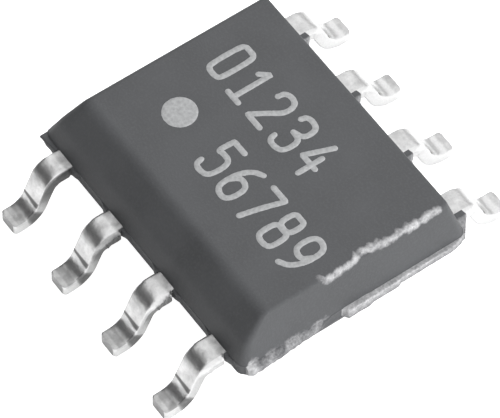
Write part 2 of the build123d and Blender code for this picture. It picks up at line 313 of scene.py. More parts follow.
class Finish:
    """A node material under construction, with short calls for the nodes it uses."""

    def __init__(self, name):
        self.material = bpy.data.materials.new(name)
        self.material.use_nodes = True
        self.tree = self.material.node_tree
        self.shader = self.tree.nodes["Principled BSDF"]
        self.place = self.tree.nodes.new("ShaderNodeTexCoord").outputs["Object"]

    def node(self, kind, **settings):
        made = self.tree.nodes.new(kind)
        for key, value in settings.items():
            setattr(made, key, value)
        return made

    def link(self, output, target):
        self.tree.links.new(output, target)

    def grain(self, size, detail=3.0, roughness=0.5, stretch=None):
        """Noise from 0 to 1 that changes over a distance of about size."""
        place = self.place
        if stretch:
            mapping = self.node("ShaderNodeMapping")
            mapping.inputs["Scale"].default_value = stretch
            self.link(place, mapping.inputs["Vector"])
            place = mapping.outputs["Vector"]
        texture = self.node("ShaderNodeTexNoise")
        texture.inputs["Scale"].default_value = 1 / size
        texture.inputs["Detail"].default_value = detail
        texture.inputs["Roughness"].default_value = roughness
        self.link(place, texture.inputs["Vector"])
        return texture.outputs["Fac"]

    def remap(self, value, low, high, new_low=0.0, new_high=1.0):
        """Stretches the range from low to high onto a new one, and holds it there."""
        made = self.node("ShaderNodeMapRange")
        for key, number in zip(("From Min", "From Max", "To Min", "To Max"), (low, high, new_low, new_high)):
            made.inputs[key].default_value = number
        self.link(value, made.inputs["Value"])
        return made.outputs["Result"]

    def math(self, operation, first, second):
        """Arithmetic on two values, of which the second may be a number."""
        made = self.node("ShaderNodeMath", operation=operation)
        self.link(first, made.inputs[0])
        if isinstance(second, (int, float)):
            made.inputs[1].default_value = second
        else:
            self.link(second, made.inputs[1])
        return made.outputs["Value"]

    def mix(self, share, first, second):
        """Blends two colours, each a node's output or plain numbers."""
        made = self.node("ShaderNodeMix", data_type="RGBA")
        self.link(share, made.inputs["Factor"])
        for key, colour in ((6, first), (7, second)):
            if isinstance(colour, bpy.types.NodeSocket):
                self.link(colour, made.inputs[key])
            else:
                made.inputs[key].default_value = (*colour, 1)
        return made.outputs[2]

    def wear_and_shading(self):
        """The wear, together with the painted shading, that the mesh carries at each point."""
        return self.node("ShaderNodeAttribute", attribute_name="wear_and_shading").outputs["Fac"]

    def bump(self, height, distance, strength=1.0, below=None):
        """Relief from a height map, over an earlier relief if there is one."""
        made = self.node("ShaderNodeBump")
        made.inputs["Strength"].default_value = strength
        made.inputs["Distance"].default_value = distance
        self.link(height, made.inputs["Height"])
        if below:
            self.link(below, made.inputs["Normal"])
        return made.outputs["Normal"]

    def surface(self, **sockets):
        """Sets or links the shader's own sockets."""
        for key, value in sockets.items():
            socket = self.shader.inputs[key.replace("_", " ")]
            if isinstance(value, bpy.types.NodeSocket):
                self.link(value, socket)
            else:
                socket.default_value = value
        return self.material


def resin_finish(settings):
    """Matte filled epoxy from a spark-eroded mould, paler and rougher where it was broken, and paler where a highlight
    is painted at the gate corner and on the flash tops.
    """
    finish = Finish("moulding_resin")
    clouds = finish.grain(0.9 * MM, detail=4)
    speckle = finish.grain(0.035 * MM, detail=2)
    resin = Vector(settings.resin)
    body = finish.mix(finish.remap(clouds, 0.35, 0.65), resin * 0.89, resin * 1.09)
    body = finish.mix(finish.remap(speckle, 0.45, 0.8, 0, 0.35), body, resin * 1.5)
    shards = finish.grain(0.045 * MM, detail=4, roughness=0.65)
    broken = Vector(settings.broken_and_highlit_resin)
    broken_and_highlit = finish.mix(finish.remap(shards, 0.35, 0.65), broken * 0.85, broken * 1.15)
    share = finish.math("ADD", finish.wear_and_shading(), finish.remap(shards, 0.3, 0.7, -0.09, 0.09))
    share = finish.remap(share, 0.22, 0.85)
    relief = finish.bump(speckle, 0.0030 * MM, strength=0.8)
    shard_height = finish.math("MULTIPLY", shards, share)
    relief = finish.bump(shard_height, 0.012 * MM, strength=0.9, below=relief)
    return finish.surface(
        Base_Color=finish.mix(share, body, broken_and_highlit),
        Roughness=finish.remap(clouds, 0.3, 0.7, 0.50, 0.60),
        Normal=relief,
    )


def tin_finish(settings):
    """Matte tin plating over copper, satin on the flats and duller where it is worn, and darker where painted shade
    and a painted reflection band lie on the side faces and over the near row.
    """
    finish = Finish("tinned_lead")
    blotches = finish.grain(0.16 * MM, detail=4, roughness=0.6)
    streaks = finish.grain(0.030 * MM, detail=3, roughness=0.6)
    share = finish.math("ADD", finish.wear_and_shading(), finish.remap(blotches, 0.3, 0.7, -0.22, 0.22))
    share = finish.remap(share, 0.2, 0.9)
    tin = Vector(settings.tin)
    bright = finish.mix(finish.remap(streaks, 0.3, 0.7), tin * 0.92, tin * 1.03)
    # Darkest tin: the die mark, and also the painted heel reflection band and the painted shade on the +X side faces
    # of leads 1 and 2.
    rubbed = finish.remap(finish.math("ADD", finish.wear_and_shading(), finish.remap(blotches, 0.3, 0.7, -0.12, 0.12)), 1.0, 1.5)
    relief = finish.bump(streaks, 0.0014 * MM, strength=0.7)
    relief = finish.bump(blotches, 0.010 * MM, strength=0.8, below=relief)
    return finish.surface(
        Base_Color=finish.mix(rubbed, finish.mix(share, bright, settings.dull_and_shaded_tin), settings.rubbed_and_shaded_tin),
        Metallic=1.0,
        Roughness=finish.remap(share, 0.0, 1.0, 0.31, 0.42),
        Normal=relief,
    )


def marking_finish(settings):
    """Resin lightened by the marking laser, slightly uneven."""
    finish = Finish("laser_marking")
    burn = finish.grain(0.05 * MM, detail=3)
    colour = Vector(settings.colour)
    return finish.surface(
        Base_Color=finish.mix(finish.remap(burn, 0.3, 0.7), colour * 0.82, colour * 1.15),
        Roughness=0.62,
        Normal=finish.bump(burn, 0.002 * MM, strength=0.6),
    )


def copper_finish(half_length):
    """Bare leadframe copper with fine rolling lines, tinned where the tie bars leave the moulding."""
    finish = Finish("leadframe_copper")
    lines = finish.grain(0.05 * MM, detail=3, stretch=(0.12, 1, 1))
    copper = finish.mix(finish.remap(lines, 0.3, 0.7), (0.66, 0.55, 0.48), (0.80, 0.72, 0.66))
    split = finish.node("ShaderNodeSeparateXYZ")
    finish.link(finish.place, split.inputs["Vector"])
    reach = finish.math("ABSOLUTE", split.outputs["X"], 0.0)
    outside = finish.remap(reach, half_length - 0.02 * MM, half_length)
    return finish.surface(
        Base_Color=finish.mix(outside, copper, (0.52, 0.52, 0.51)),
        Metallic=1.0,
        Roughness=finish.remap(lines, 0.3, 0.7, 0.30, 0.42),
        Normal=finish.bump(lines, 0.001 * MM, strength=0.5),
    )


def adhesive_finish():
    """Cured adhesive filled with silver flake."""
    finish = Finish("silver_adhesive")
    flakes = finish.grain(0.02 * MM, detail=2)
    return finish.surface(
        Base_Color=finish.mix(finish.remap(flakes, 0.4, 0.6), (0.42, 0.42, 0.40), (0.72, 0.72, 0.70)),
        Metallic=finish.remap(flakes, 0.4, 0.6, 0.2, 0.8),
        Roughness=0.45,
        Normal=finish.bump(flakes, 0.002 * MM, strength=0.6),
    )


def silicon_finish():
    """Silicon with the faint blocks of its circuits."""
    finish = Finish("silicon")
    mapping = finish.node("ShaderNodeMapping")
    finish.link(finish.place, mapping.inputs["Vector"])
    blocks = finish.node("ShaderNodeTexVoronoi", distance="CHEBYCHEV")
    blocks.inputs["Scale"].default_value = 1 / (0.16 * MM)
    finish.link(mapping.outputs["Vector"], blocks.inputs["Vector"])
    tone = finish.remap(blocks.outputs["Distance"], 0.0, 0.6)
    return finish.surface(
        Base_Color=finish.mix(tone, (0.20, 0.23, 0.31), (0.36, 0.33, 0.40)),
        Metallic=0.7,
        Roughness=finish.remap(tone, 0.0, 1.0, 0.12, 0.22),
    )


def gold_finish():
    """Drawn gold wire."""
    finish = Finish("gold_wire")
    lines = finish.grain(0.01 * MM, detail=2)
    return finish.surface(
        Base_Color=finish.mix(finish.remap(lines, 0.3, 0.7), (0.80, 0.56, 0.20), (0.92, 0.70, 0.32)),
        Metallic=1.0,
        Roughness=finish.remap(lines, 0.3, 0.7, 0.18, 0.28),
    )


# Moulding


class MouldingForm:
    """The walls of the moulding as insets from the parting outline, by distance from the parting band."""

    def __init__(self, moulding, lead):
        self.half_length = moulding.length / 2
        self.half_width = moulding.width / 2
        self.band_low = lead.rise
        self.band_high = lead.rise + lead.thickness
        self.top = self.band_high + moulding.upper_height
        self.gate_edge = self.half_length - moulding.upper_height * math.tan(moulding.gate_end_draft)
        self.settings = moulding

    def drafted(self, run, height, draft, radius):
        """Inset of a drafted wall that ends in a round edge, at a given run up its height."""
        centre_run = height - radius
        if run <= centre_run + radius * math.sin(draft):
            return run * math.tan(draft)
        tangent = radius * math.tan((math.pi / 2 - draft) / 2)
        centre_inset = height * math.tan(draft) + tangent
        return centre_inset - math.sqrt(max(radius**2 - (run - centre_run) ** 2, 0))

    def bevelled(self, run, height):
        """Inset of the wall that carries the bevel, rounded into the top."""
        moulding = self.settings
        radius = moulding.bevel_radius
        wall = run * math.tan(moulding.bevel_side_draft)
        crest = height * math.tan(moulding.bevel_side_draft) + moulding.bevel_width
        bevel = crest - (height - run)
        blend = 0.05 * MM
        soft = 0.5 * (wall + bevel + math.sqrt((wall - bevel) ** 2 + blend**2))
        centre_run = height - radius
        if run >= centre_run + radius * math.cos(math.pi / 4):
            centre_inset = crest + radius * math.tan(math.pi / 8)
            soft = centre_inset - math.sqrt(max(radius**2 - (run - centre_run) ** 2, 0))
        return soft - 0.5 * (math.sqrt(crest**2 + blend**2) - crest) * (1 - run / height)

    def upper_ring(self, run):
        """The outline at a height above the parting band."""
        moulding = self.settings
        height, edge = moulding.upper_height, moulding.edge_radius
        gate = self.drafted(run, height, moulding.gate_end_draft, edge)
        far = self.drafted(run, height, moulding.far_end_draft, moulding.far_edge_radius)
        high = self.drafted(run, height, moulding.side_draft, edge)
        rounding = gate - min(run, height) * math.tan(moulding.gate_end_draft)
        low = self.bevelled(run, height)
        return self.outline(gate, far, low, high, self.corner(run, height) - rounding, self.band_high + run)

    def lower_ring(self, run):
        """The outline at a depth below the parting band."""
        draft = self.settings.lower_draft
        height = self.band_low - self.settings.underside
        inset = self.drafted(run, height, draft, self.settings.edge_radius)
        rounding = inset - min(run, height) * math.tan(draft)
        return self.outline(inset, inset, inset, inset, self.corner(run, height) - rounding, self.band_low - run)

    def corner(self, run, height):
        """Corner radius, which shrinks to half away from the parting band."""
        return self.settings.corner_radius * (1 - 0.5 * run / height)

    def outline(self, gate_inset, far_inset, low_inset, high_inset, radius, level):
        """Points round the moulding at one level, from the -Y corner of the gate end."""
        return rounded_outline(
            (far_inset - self.half_length, self.half_length - gate_inset),
            (low_inset - self.half_width, self.half_width - high_inset),
            max(radius, 0.02 * MM), level)


def rounded_outline(reach_x, reach_y, radius, level, counts=(360, 120, 60, 120), corner_count=7):
    """Points round a rectangle with round corners: the +X side, then +Y, -X and -Y."""
    corners = [
        (reach_x[1], reach_y[0], 1, 1), (reach_x[1], reach_y[1], 1, -1),
        (reach_x[0], reach_y[1], -1, -1), (reach_x[0], reach_y[0], -1, 1)]
    centres = [(x - sx * radius, y + sy * radius) for x, y, sx, sy in corners]
    points = []
    for side, count in enumerate(counts):
        start, finish = centres[side], centres[(side + 1) % 4]
        out = (math.cos(side * math.pi / 2), math.sin(side * math.pi / 2))
        for k in range(count):
            share = k / (count - 1)
            x = start[0] + (finish[0] - start[0]) * share + out[0] * radius
            y = start[1] + (finish[1] - start[1]) * share + out[1] * radius
            points.append((x, y, level))
        for k in range(1, corner_count + 1):
            angle = (side + k / (corner_count + 1)) * math.pi / 2
            points.append((finish[0] + radius * math.cos(angle), finish[1] + radius * math.sin(angle), level))
    return points


# Webs beside the leads, as (distance from the lead, how far it stands out)
LONG_WEB = ((0, 0.195 * MM), (0.09 * MM, 0.205 * MM), (0.17 * MM, 0.120 * MM), (0.62 * MM, 0))
GATE_END_WEB = ((0, 0.195 * MM), (0.09 * MM, 0.205 * MM), (0.34 * MM, 0))
SHORT_WEB = ((0, 0.050 * MM), (0.18 * MM, 0))
CORNER_WEB = ((0, 0.055 * MM), (0.10 * MM, 0.070 * MM), (0.350 * MM, 0.092 * MM))

BROKEN_LINE = (
    (-0.54, 0.030), (-0.46, 0.000), (-0.39, -0.085), (-0.18, -0.045), (0.03, -0.040), (0.16, 0.020),
    (0.27, 0.047), (0.40, 0.034), (0.73, -0.036), (0.88, -0.008), (1.13, -0.028), (1.60, -0.018))


def broken_line_at(y):
    """How far in from the gate end's top edge the broken line runs, and its strength, at a place along it."""
    place = y / MM
    share = smooth_step(-0.62, -0.38, place) * (1 - smooth_step(1.58, 1.66, place))
    for (low, first), (high, second) in zip(BROKEN_LINE, BROKEN_LINE[1:]):
        if low <= place <= high:
            return (first + (second - first) * (place - low) / (high - low)) * MM, share
    return BROKEN_LINE[0][1] * MM if place < 0 else BROKEN_LINE[-1][1] * MM, share


def break_gate_edge(surface, form, moulding):
    """Breaks the top edge of the gate end: crumbled and pale along the broken line."""
    edge_x, top = form.gate_edge, form.top
    for number, (x, y, z) in enumerate(surface.points):
        if x < edge_x - 0.3 * MM or z < top - 0.3 * MM:
            continue
        centre, share = broken_line_at(y)
        centre += 0.014 * MM * ripple((y, 0, 0), 0.11 * MM, 3.7) + 0.010 * MM * ripple((y, 0, 0), 0.035 * MM, 8.2)
        along = (edge_x - x) - (top - z) * 0.78
        width = moulding.broken_width * (1 + 0.55 * ripple((y, 0, 0), 0.10 * MM, 9.1))
        broken = (1 - smooth_step(0.15 * width, 1.30 * width, abs(along - centre))) * share
        broken *= 0.62 + 0.28 * ripple((x, y, z), 0.10 * MM, 6.4)
        cut = (0.010 * MM + 0.30 * max(centre, 0)) * share * (1 + 0.5 * ripple((y, 0, 0), 0.13 * MM, 1.1))
        over = max((x - edge_x + z - top) / math.sqrt(2) + cut, 0)
        lump = broken * (0.007 * MM * ripple((x, y, z), 0.040 * MM, 1.9) - 0.002 * MM)
        move = (lump - over) / math.sqrt(2)
        surface.points[number] = (x + move, y, z + min(move, 0.003 * MM))
        surface.wear_and_shading[number] = max(surface.wear_and_shading[number], broken)


def moulding_shell(form, moulding):
    """The closed skin of the moulding from the ejector mark to the top."""
    surface = Surface()
    height = moulding.upper_height
    depth = form.band_low - moulding.underside
    runs_down = [depth * share for share in (0.2, 0.4, 0.6, 0.75, 0.85)]
    runs_down += [depth - moulding.edge_radius * (1 - k / 7) ** 1.6 for k in range(8)]
    bevel_start = moulding.bevel_radius * (1 - math.cos(math.pi / 4))
    runs_up = [share * MM for share in (0.02, 0.08, 0.16, 0.24, 0.30, 0.35, 0.40, 0.45)]
    runs_up += [(0.48 + 0.018 * k) * MM for k in range(10)]
    runs_up += [height - bevel_start * (1 - k / 16) ** 2 for k in range(17)]

    rings = []
    bottom = form.lower_ring(depth)
    for share in (0.92, 0.5, 0.0):
        rings.append(blend_to_circle(bottom, 0.5 * MM + 0.002 * MM, share))
    floor_ring = [(x * 0.985, y * 0.985, z + 0.03 * MM) for x, y, z in rings[-1]]
    rings = [floor_ring] + rings[::-1]
    rings += [form.lower_ring(run) for run in reversed(runs_down)]
    rings.append(form.lower_ring(0.004 * MM))
    lip = 0.004 * MM
    for rise, out in ((0.0, lip), (0.008 * MM, 0.0), (0.192 * MM, 0.0), (0.20 * MM, lip)):
        rings.append(form.outline(-out, -out, -out, -out, form.corner(0, 1), form.band_low + rise))
    rings.append(form.upper_ring(0.004 * MM))
    rings += [form.upper_ring(run) for run in runs_up]
    top = rings[-1]
    low = [min(p[axis] for p in top) for axis in (0, 1)]
    high = [max(p[axis] for p in top) for axis in (0, 1)]
    middle = [(a + b) / 2 for a, b in zip(low, high)]
    half = [(b - a) / 2 for a, b in zip(low, high)]
    for step in range(1, 19):
        shrink = [1 - 0.010 * MM * step / size for size in half]
        rings.append([
            ((x - middle[0]) * shrink[0] + middle[0], (y - middle[1]) * shrink[1] + middle[1], form.top)
            for x, y, _ in top])
    surface.tube(rings)
    break_gate_edge(surface, form, moulding)
    return surface


def blend_to_circle(outline, radius, share):
    """A ring between an outline and a circle round the middle: share 1 gives the outline."""
    blended = []
    for x, y, z in outline:
        length = math.hypot(x, y)
        circle = (x / length * radius, y / length * radius)
        blended.append((circle[0] + (x - circle[0]) * share, circle[1] + (y - circle[1]) * share, z))
    return blended


def swept_strip(surface, section, start_y, finish_y, step, rough):
    """A strip along Y from a section given as (x, z, wear) points for each y, with a rough skin."""
    count = max(int((finish_y - start_y) / step), 4)
    rings, wear_and_shading_values = [], []
    for k in range(count + 1):
        y = start_y + (finish_y - start_y) * k / count
        ring = []
        for x, z, wear_and_shading in section(y):
            point = (x, y, z)
            x += rough * ripple(point, 0.07 * MM, 2.3)
            z += rough * 0.6 * ripple(point, 0.07 * MM, 7.7)
            ring.append((x, y, z))
            wear_and_shading_values.append(wear_and_shading)
        rings.append(ring)
    first = surface.tube(rings)[0][0]
    surface.wear_and_shading[first:] = wear_and_shading_values


def strip_section(inner, outer, low, high, round_size):
    """Section of a flash strip: a rectangle whose outer corners are rounded."""
    points = [(inner, low)]
    points += [(inner + (outer - inner) * share, low) for share in (0.5, 0.8)]
    sign = 1 if outer > inner else -1
    centre_x = outer - sign * round_size
    for quarter, centre_z in enumerate((low + round_size, high - round_size)):
        for k in range(4):
            angle = (quarter - 1 + k / 3) * math.pi / 2
            points.append((centre_x + sign * round_size * math.cos(angle), centre_z + round_size * math.sin(angle)))
    points += [(inner + (outer - inner) * share, high) for share in (0.8, 0.5)]
    points.append((inner, high))
    return points


def add_flash(surface, form, moulding, toward, start_y, finish_y):
    """One run of flash along the parting line of an end, with a slanted start and a long run-out."""
    reach = moulding.gate_flash if toward > 0 else moulding.far_flash
    low_y, high_y = sorted((start_y, finish_y))

    def section(y):
        start = smooth_step(0, 0.09 * MM, abs(y - start_y))
        run_out = smooth_step(0, 0.26 * MM, abs(y - finish_y)) ** 0.6
        width = reach * (0.95 + 0.05 * ripple((y, 0, 0), 0.25 * MM, 4.4)) * min(start, run_out)
        narrow = smooth_step(0.70 * MM, 0.76 * MM, y) if toward > 0 else 0.0
        width -= 0.016 * MM * narrow * min(start, run_out)
        wrap = 1 - smooth_step(0.18 * MM, 0.30 * MM, abs(y))
        low = form.band_high - moulding.flash_height + (0.030 * narrow - 0.036 * wrap) * MM
        inner = toward * (form.half_length - 0.10 * MM)
        outer = toward * (form.half_length + max(width, 0.003 * MM))
        top = form.band_high + (0.008 * wrap - 0.003) * MM
        # The flash top is paler than its side: partly pale broken resin, partly a painted highlight where the top
        # faces the light.
        lip = 0.66 + 0.20 * ripple((y, 0, 0), 0.14 * MM, 5.5)
        return [
            (x, z, lip if z > top - 0.03 * MM else 0.42)
            for x, z in strip_section(inner, outer, low, top, min(0.016 * MM, 0.45 * reach))]

    swept_strip(surface, section, low_y, high_y, 0.014 * MM, 0.005 * MM)


def gate_scar_and_highlight(y, z):
    """How pale the broken resin is round the gate, in large soft patches, with a painted highlight near the -Y corner
    of the gate end.
    """
    patches = 0.5 + 1.0 * ripple((y, z, 0), 0.24 * MM, 3.3) + 0.3 * ripple((y, z, 0), 0.07 * MM, 1.7)
    # Painted highlight: the resin is made paler towards the -Y corner of the gate end.
    corner = 1 - smooth_step(0.05 * MM, 0.26 * MM, y + 1.90 * MM)
    return min(max(0.17 + 0.30 * patches + 0.26 * corner, 0.0), 1.0)


def add_gate(surface, form, moulding):
    """The rough stump where the runner was broken off, beside lead 4."""
    low_y = -(form.half_width - 0.08 * MM)
    high_y = low_y + moulding.gate_length

    def section(y):
        along = (y - low_y) / moulding.gate_length
        proud = moulding.gate_proud * (1 - along) ** 0.8 * smooth_step(-0.03, 0.05, along)
        proud += (0.014 * MM * ripple((y, 0, 0), 0.20 * MM, 6.1) + 0.008 * MM) * (1 - smooth_step(0.85, 1.0, along))
        inner = form.half_length - 0.12 * MM
        outer = form.half_length + max(proud, 0.002 * MM)
        low, high = form.band_low + 0.005 * MM, form.band_high + 0.016 * MM * ripple((y, 0, 0), 0.14 * MM, 8.8)
        points = [(inner, low), ((inner + outer) / 2, low), (outer - 0.02 * MM, low)]
        points += [(outer, low + (high - low) * share) for share in (0.15, 0.3, 0.45, 0.6)]
        points += [(outer - (outer - form.half_length) * share * share, low + (high - low) * (0.6 + 0.4 * share))
                   for share in (0.3, 0.6, 0.85, 1.0)]
        points += [((inner + form.half_length) / 2, high), (inner, high)]
        fade = 1 - 0.8 * smooth_step(0.80, 1.0, along)
        return [(x, z, fade * gate_scar_and_highlight(y, z)) for x, z in points]

    swept_strip(surface, section, low_y, high_y, 0.012 * MM, 0.014 * MM)


def scuff_gate_wall(surface, form, moulding):
    """Pale soft patches on the wall just above the gate."""
    reach = moulding.gate_length - form.half_width
    for number, (x, y, z) in enumerate(surface.points):
        above = z - form.band_high
        on_end = y > 0.10 * MM - form.half_width and x > form.gate_edge
        if on_end and -0.01 * MM < above < 0.26 * MM and y < reach + 0.2 * MM:
            share = 1 - smooth_step(0.02 * MM, (0.15 + 0.12 * ripple((y, 0, 0), 0.3 * MM, 2.9)) * MM, above)
            share *= 1 - smooth_step(reach, reach + 0.15 * MM, y)
            surface.wear_and_shading[number] = max(surface.wear_and_shading[number], share * (gate_scar_and_highlight(y, z) - 0.06))


def add_web(surface, form, lead, centre_x, side, toward, outline, end_wear, thinned=0.0):
    """The thin wedge of resin beside a lead where it leaves the moulding, from (along, proud) corners."""
    start = lead.width / 2 - 0.004 * MM
    count = 40
    length = outline[-1][0]
    rings, wear_and_shading_values = [], []
    for k in range(count + 1):
        along = length * k / count
        x = centre_x + toward * (start + along)
        if abs(x) > form.half_length - (0.0 if thinned else 0.02 * MM):
            break
        proud = level_at(outline, along)
        proud += 0.010 * MM * ripple((x, side, 0), 0.08 * MM, 2.2) * min(proud / (0.03 * MM), 1)
        ring = [
            (x, side * y, z)
            for y, z in strip_section(
                form.half_width - (0.12 * MM if thinned else 0.05 * MM), form.half_width + max(proud, 0.004 * MM),
                form.band_low + 0.012 * MM + thinned * along / length, form.band_high - 0.008 * MM, 0.02 * MM)]
        rings.append(ring)
        wear_and_shading_values += [end_wear * smooth_step(0.05 * MM, 0.12 * MM, along)] * len(ring)
    first = surface.tube(rings)[0][0]
    surface.wear_and_shading[first:] = wear_and_shading_values


class CHIP_OT_moulding(bpy.types.Operator):
    """Build the moulded resin body with its flash, gate stump, webs and chipped edge"""

    bl_idname = "chip.make_moulding"
    bl_label = "Moulding"

    def execute(self, context):
        moulding = context.scene.chip_moulding
        lead = context.scene.chip_lead
        form = MouldingForm(moulding, lead)
        surface = moulding_shell(form, moulding)
        edge = form.half_width - 0.06 * MM
        tie_bar = 0.155 * MM
        add_flash(surface, form, moulding, 1, -0.24 * MM, edge)
        add_flash(surface, form, moulding, -1, tie_bar, edge)
        add_flash(surface, form, moulding, -1, -tie_bar, -edge)
        add_gate(surface, form, moulding)
        scuff_gate_wall(surface, form, moulding)
        for index in range(LEADS_PER_SIDE):
            centre_x = lead_x(index, lead.pitch)
            last = index == LEADS_PER_SIDE - 1
            add_web(surface, form, lead, centre_x, 1, 1, GATE_END_WEB if last else LONG_WEB, 0.46)
            if index:
                add_web(surface, form, lead, centre_x, -1, -1, SHORT_WEB, 0.0)
            else:
                add_web(surface, form, lead, centre_x, -1, -1, CORNER_WEB, 0.0, 0.13 * MM)
            add_web(surface, form, lead, centre_x, -1, 1, SHORT_WEB, 0.0)
        made = mesh_object("moulding", surface)
        made.data.materials.append(resin_finish(moulding))
        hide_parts("body")
        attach(made, "root")
        return {"FINISHED"}


# Leads


def lead_x(index, pitch):
    """Place of a lead along its row, counted from the -X end."""
    return (index - (LEADS_PER_SIDE - 1) / 2) * pitch


def lead_line(lead, start_out):
    """Stations along the middle of a lead: distance out, height and slope, from inside to the toe."""
    bend = lead.bend_radius + lead.thickness / 2
    heel_bend = lead.heel_radius + lead.thickness / 2
    angle = lead.riser_angle
    riser_drop = lead.rise - (bend + heel_bend) * (1 - math.cos(angle))
    riser_run = riser_drop / math.tan(angle)
    toe = lead.span / 2
    heel = toe - lead.foot_flat
    shoulder = heel - (bend + heel_bend) * math.sin(angle) - riser_run
    high = lead.rise + lead.thickness / 2
    low = lead.thickness / 2
    stations = [(start_out + (shoulder - start_out) * k / 30, high, 0.0) for k in range(30)]
    steps = 22
    for k in range(steps + 1):
        turn = angle * k / steps
        stations.append((shoulder + bend * math.sin(turn), high - bend * (1 - math.cos(turn)), turn))
    riser_out, riser_height = stations[-1][:2]
    for k in range(1, 30):
        share = k / 30
        stations.append((riser_out + riser_run * share, riser_height - riser_drop * share, angle))
    for k in range(steps + 1):
        turn = angle * (1 - k / steps)
        stations.append((heel - heel_bend * math.sin(turn), low + heel_bend * (1 - math.cos(turn)), turn))
    corner = 0.05 * MM
    stations += [(heel + (toe - corner - heel) * k / 8, low, 0.0) for k in range(1, 8)]
    stations += [(toe - corner * (1 - math.sin(k / 8 * math.pi / 2)), low, 0.0) for k in range(9)]
    return stations


def lead_half_width(lead, out):
    """Half the width of a lead at a distance out, with its round toe corners."""
    corner = 0.05 * MM
    past = max(out - (lead.span / 2 - corner), 0)
    return lead.width / 2 - (corner - math.sqrt(max(corner**2 - past**2, 0)))


STUB_CHAMFER = 0.07 * MM
# Leads 1 to 4: painted shade on the +X side face, painted shade on its upper edge, and size of the stub there
NEAR_FLANK_SHADE_AND_STUB = ((1.35, 1.35, 0.3), (1.25, 0.80, 1.0), (0.95, 0.0, 1.0), (0.0, 0.0, 1.0))
# The far row: no painted shade on its side faces and edges, and a full stub
FAR_FLANK_SHADE_AND_STUB = (0.0, 0.0, 1.0)


def stub_proud(out, body_out, toward):
    """How far the sheared stub stands out from a side of a lead, more on its +X side."""
    start = smooth_step(body_out + 0.064 * MM, body_out + 0.076 * MM, out)
    if toward > 0:
        return 0.055 * MM * start * (1 - smooth_step(body_out + 0.34 * MM, body_out + 0.47 * MM, out))
    return 0.025 * MM * start * (1 - smooth_step(body_out + 0.26 * MM, body_out + 0.29 * MM, out))


def lead_section(half_width, half_thickness, radius):
    """Closed section of a lead, as (across, through) points, with rounder edges on the punched side."""
    points = []
    corners = [(1, -1, radius * 0.55), (1, 1, radius), (-1, 1, radius), (-1, -1, radius * 0.55)]
    for number, (across, through, size) in enumerate(corners):
        for k in range(6):
            angle = (number - 1) * math.pi / 2 + k / 5 * math.pi / 2
            points.append((
                across * (half_width - size) + size * math.cos(angle),
                through * (half_thickness - size) + size * math.sin(angle)))
        nxt = corners[(number + 1) % 4]
        start = points[-1]
        end = (
            nxt[0] * (half_width - nxt[2]) + nxt[2] * math.cos(number * math.pi / 2),
            nxt[1] * (half_thickness - nxt[2]) + nxt[2] * math.sin(number * math.pi / 2))
        for k in range(1, 7):
            points.append((start[0] + (end[0] - start[0]) * k / 7, start[1] + (end[1] - start[1]) * k / 7))
    return points


def lead_blade(surface, lead, centre_x, side, start_out, body_out, flank_shade_and_stub):
    """The bent blade of a lead outside the moulding, skinned along its middle line."""
    rings = []
    wear_and_shading_values = []
    travelled = 0.0
    previous = None
    for out, height, slope in lead_line(lead, start_out):
        if previous:
            travelled += math.dist(previous, (out, height))
        previous = (out, height)
        half = lead_half_width(lead, out)
        radius = min(lead.edge_radius, half * 0.9)
        top_dull_and_shade = lead_dullness_and_shade(lead, side, out, body_out)
        flank_shade_by_height = smooth_step(0.22 * MM, 0.62 * MM, height)
        heel_reflection = heel_reflection_band(lead, side, height, slope)
        ring = []
        for across, through in lead_section(half, lead.thickness / 2, radius):
            reach, dull = through, top_dull_and_shade
            if through > 0:
                reach += 0.0030 * MM * ripple((centre_x + across, side * travelled, through), 0.13 * MM, 1.3)
                dull = max(top_dull_and_shade, die_mark_wear(lead, centre_x, across, height))
            # Painted shade on the side faces: darker high up by the bend and lighter low down, set per lead on the +X
            # side and at 0.6 on the -X side.
            if abs(across) > half - 0.3 * radius:
                at_crest = through > lead.thickness / 2 - STUB_CHAMFER
                dull = (flank_shade_and_stub[at_crest] if across > 0 else 0.6) * flank_shade_by_height
            # Painted reflection: the dark heel band over the +X edge and side face of leads 1 to 4.
            if across > half - radius:
                dull = max(dull, heel_reflection)
            if abs(across) > half - radius:
                proud = stub_proud(out, body_out, across)
                proud *= flank_shade_and_stub[2] * min((lead.thickness / 2 - through) / STUB_CHAMFER, 1)
                across += math.copysign(proud, across) * (1 + 0.2 * ripple((travelled, through, side), 0.04 * MM))
            wear_and_shading_values.append(dull)
            ring.append((
                centre_x + across,
                side * (out + reach * math.sin(slope)),
                height + reach * math.cos(slope)))
        rings.append(ring)
    rings.append([(x, side * (lead.span / 2 + 0.001 * MM), z) for x, _, z in rings[-1]])
    wear_and_shading_values += [1.0] * len(ring)
    first = surface.tube(rings)[0][0]
    surface.wear_and_shading[first:] = wear_and_shading_values


def die_mark_wear(lead, centre_x, across, height):
    """The dark line across the riser, thin at its -X end and wider towards +X."""
    share = across / lead.width + 0.5
    centre = 0.385 * MM - 0.025 * MM * share + 0.05 * MM * ripple((centre_x, 0, 0), 0.5 * MM, 6.6)
    reach = lead.die_mark / 2 * (0.40 + 0.60 * share)
    return 1.6 * (1 - smooth_step(0.35 * reach, 1.10 * reach, abs(height - centre)))


def heel_reflection_band(lead, side, height, slope):
    """Painted reflection: a dark band on the +X side face and edge of leads 1 to 4, where the heel bend turns between
    about 12 and 58 degrees.
    """
    if side > 0 or height > lead.rise / 2:
        return 0.0
    turned = math.degrees(slope)
    return 1.45 * smooth_step(12, 26, turned) * (1 - smooth_step(44, 58, turned))


